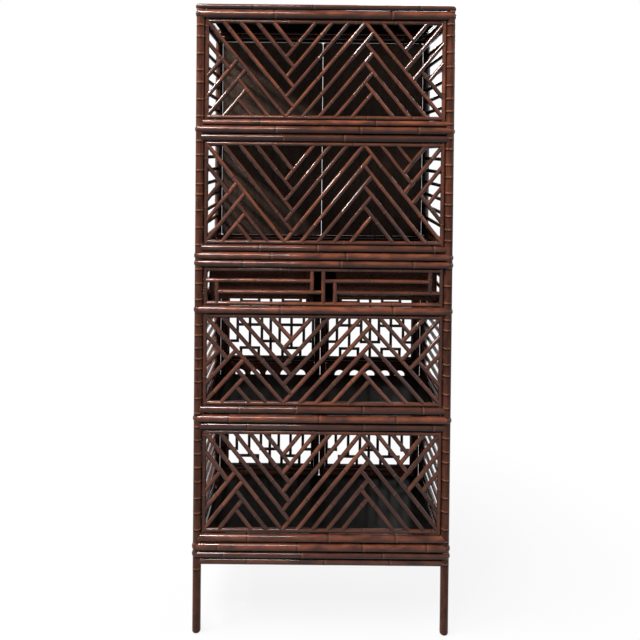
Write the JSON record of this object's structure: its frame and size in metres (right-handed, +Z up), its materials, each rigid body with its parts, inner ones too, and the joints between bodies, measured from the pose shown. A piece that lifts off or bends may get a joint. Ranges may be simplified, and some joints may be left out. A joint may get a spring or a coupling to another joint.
{
  "type": "display cabinet",
  "caption": "Tall bamboo cabinet with herringbone lattice face, laddered sides, shelves, panelled and latticed doors, drawers and ring pulls.",
  "frame": {"origin": "on the floor, at the middle of the footprint's bounding box", "axes": "+Z up; +X to the right as seen from the lattice face; +Y from the lattice face to the door face"},
  "size_m": [0.742, 0.4188, 1.8],
  "materials": {
    "bamboo_post": "dark red-brown lacquered bamboo culm, glossy",
    "bamboo_rail": "dark red-brown lacquered bamboo culm, glossy",
    "bamboo_lattice": "red-brown lacquered thin bamboo cane, glossy",
    "lacquer_board": "near-black brown lacquered board, satin",
    "brass_pull": "aged brass"
  },
  "bodies": {
    "carcass": {"base_wrap_rail": "bamboo_rail", "board_bearers": "bamboo_rail", "bottom_board": "lacquer_board", "crown_wrap_rail": "bamboo_rail", "door_face_stretcher": "bamboo_rail", "door_left_post": "bamboo_post", "door_right_post": "bamboo_post", "drawer_divider": "bamboo_rail", "drawer_runners": "lacquer_board", "drawer_wrap_rail": "bamboo_rail", "head_wrap_rail": "bamboo_rail", "lattice_bottom": "bamboo_lattice", "lattice_face_stretchers": "bamboo_rail", "lattice_left_post": "bamboo_post", "lattice_lower": "bamboo_lattice", "lattice_right_post": "bamboo_post", "lattice_top": "bamboo_lattice", "lattice_upper": "bamboo_lattice", "lattice_waist": "bamboo_lattice", "left_side_panels": "bamboo_lattice", "left_side_stretchers": "bamboo_rail", "lower_shelf": "lacquer_board", "lower_shelf_wrap_rail": "bamboo_rail", "panel_pegs": "bamboo_lattice", "plinth_wrap_rail": "bamboo_rail", "right_side_panels": "bamboo_lattice", "right_side_stretchers": "bamboo_rail", "top_board": "lacquer_board", "upper_floor": "lacquer_board", "upper_shelf": "lacquer_board", "upper_shelf_wrap_rail": "bamboo_rail", "upper_sill_wrap_rail": "bamboo_rail", "waist_wrap_rail": "bamboo_rail"},
    "upper_left_door": {"upper_left_door_eye": "brass_pull", "upper_left_door_frame": "bamboo_rail", "upper_left_door_leaf": "lacquer_board"},
    "upper_left_door_ring": {"upper_left_door_ring": "brass_pull"},
    "lower_left_door": {"lower_left_door_eye": "brass_pull", "lower_left_door_frame": "bamboo_rail", "lower_left_door_lattice": "bamboo_lattice", "lower_left_door_waist_board": "lacquer_board"},
    "lower_left_door_ring": {"lower_left_door_ring": "brass_pull"},
    "left_drawer": {"left_drawer_box": "lacquer_board", "left_drawer_eye": "brass_pull", "left_drawer_front": "lacquer_board"},
    "left_drawer_ring": {"left_drawer_ring": "brass_pull"},
    "upper_right_door": {"upper_right_door_eye": "brass_pull", "upper_right_door_frame": "bamboo_rail", "upper_right_door_leaf": "lacquer_board"},
    "upper_right_door_ring": {"upper_right_door_ring": "brass_pull"},
    "lower_right_door": {"lower_right_door_eye": "brass_pull", "lower_right_door_frame": "bamboo_rail", "lower_right_door_lattice": "bamboo_lattice", "lower_right_door_waist_board": "lacquer_board"},
    "lower_right_door_ring": {"lower_right_door_ring": "brass_pull"},
    "right_drawer": {"right_drawer_box": "lacquer_board", "right_drawer_eye": "brass_pull", "right_drawer_front": "lacquer_board"},
    "right_drawer_ring": {"right_drawer_ring": "brass_pull"}
  },
  "joints": [
    {"name": "upper_left_door_swing", "type": "hinge", "parent": "carcass", "child": "upper_left_door", "pos_m": [-0.3329, 0.1906, 0], "axis": [0, 0, 1], "range_deg": [0, 105]},
    {"name": "upper_left_door_ring_swing", "type": "hinge", "parent": "upper_left_door", "child": "upper_left_door_ring", "pos_m": [-0.0103, 0.2049, 1.42665], "axis": [1, 0, 0], "range_deg": [0, 90]},
    {"name": "lower_left_door_swing", "type": "hinge", "parent": "carcass", "child": "lower_left_door", "pos_m": [-0.3329, 0.1906, 0], "axis": [0, 0, 1], "range_deg": [0, 105]},
    {"name": "lower_left_door_ring_swing", "type": "hinge", "parent": "lower_left_door", "child": "lower_left_door_ring", "pos_m": [-0.0103, 0.2049, 0.59], "axis": [1, 0, 0], "range_deg": [0, 90]},
    {"name": "left_drawer_slide", "type": "slide", "parent": "carcass", "child": "left_drawer", "axis": [0, 1, 0], "range_m": [0, 0.17]},
    {"name": "left_drawer_ring_swing", "type": "hinge", "parent": "left_drawer", "child": "left_drawer_ring", "pos_m": [-0.17675, 0.2034, 0.99675], "axis": [1, 0, 0], "range_deg": [0, 90]},
    {"name": "upper_right_door_swing", "type": "hinge", "parent": "carcass", "child": "upper_right_door", "pos_m": [0.3329, 0.1906, 0], "axis": [0, 0, -1], "range_deg": [0, 105]},
    {"name": "upper_right_door_ring_swing", "type": "hinge", "parent": "upper_right_door", "child": "upper_right_door_ring", "pos_m": [0.0103, 0.2049, 1.42665], "axis": [1, 0, 0], "range_deg": [0, 90]},
    {"name": "lower_right_door_swing", "type": "hinge", "parent": "carcass", "child": "lower_right_door", "pos_m": [0.3329, 0.1906, 0], "axis": [0, 0, -1], "range_deg": [0, 105]},
    {"name": "lower_right_door_ring_swing", "type": "hinge", "parent": "lower_right_door", "child": "lower_right_door_ring", "pos_m": [0.0103, 0.2049, 0.59], "axis": [1, 0, 0], "range_deg": [0, 90]},
    {"name": "right_drawer_slide", "type": "slide", "parent": "carcass", "child": "right_drawer", "axis": [0, 1, 0], "range_m": [0, 0.17]},
    {"name": "right_drawer_ring_swing", "type": "hinge", "parent": "right_drawer", "child": "right_drawer_ring", "pos_m": [0.17675, 0.2034, 0.99675], "axis": [1, 0, 0], "range_deg": [0, 90]}
  ]
}
